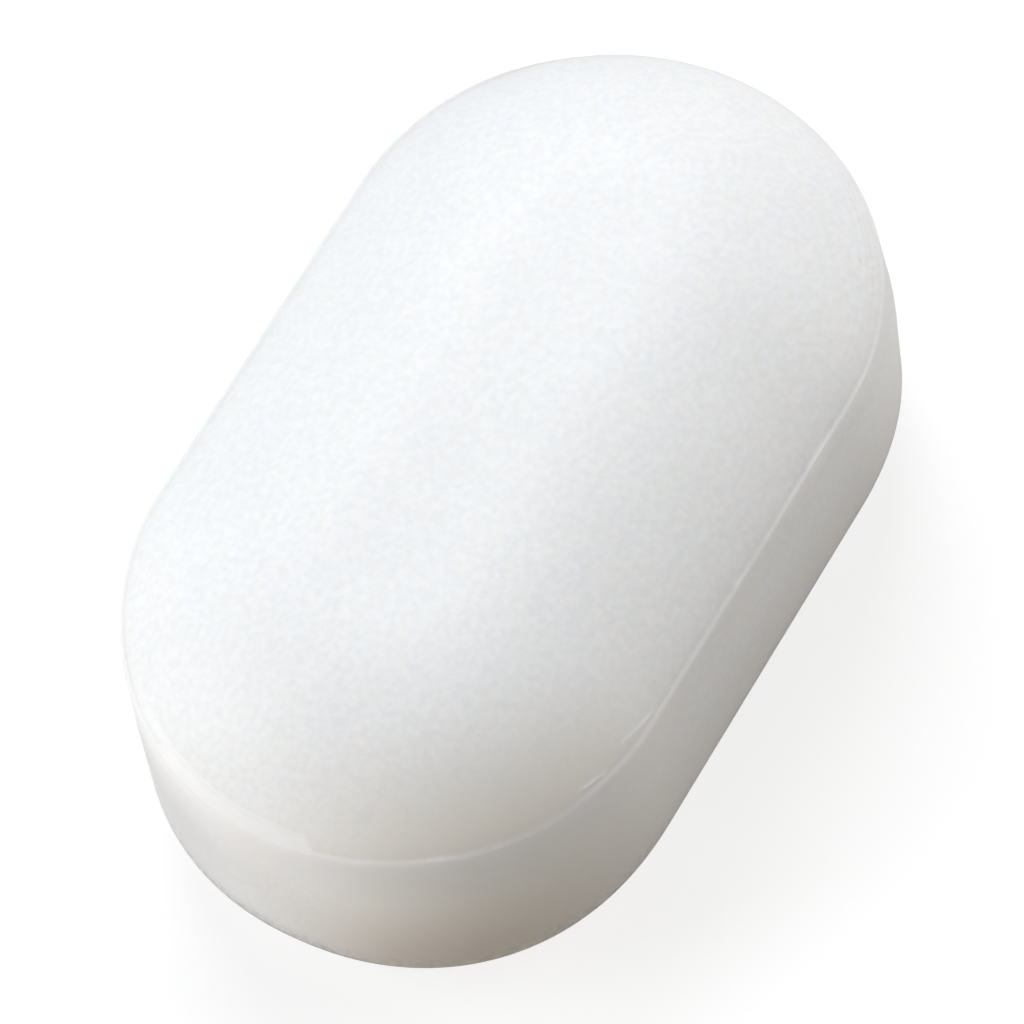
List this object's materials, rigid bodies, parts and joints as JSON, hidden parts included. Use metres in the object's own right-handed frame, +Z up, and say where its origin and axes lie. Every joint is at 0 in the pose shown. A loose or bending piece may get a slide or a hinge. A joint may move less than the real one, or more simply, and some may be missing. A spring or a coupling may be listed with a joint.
{
  "type": "magnetic stir bar",
  "caption": "Long flat pill-shaped stir bar: a white fluoropolymer jacket, domed on both faces, pressed round a bar magnet.",
  "frame": {"origin": "on the surface the bar rests on, under its middle: the middle of the flat strip on the lower domed face", "axes": "+X along the bar, +Y across it between its two flat sides, +Z up through its two domed faces"},
  "size_m": [0.0254, 0.0148, 0.0113],
  "materials": {
    "pressed_ptfe": "satin, pressed and sintered",
    "cast_magnet": "ground"
  },
  "bodies": {
    "root": {"jacket": "pressed_ptfe", "bar_magnet": "cast_magnet"}
  },
  "joints": []
}
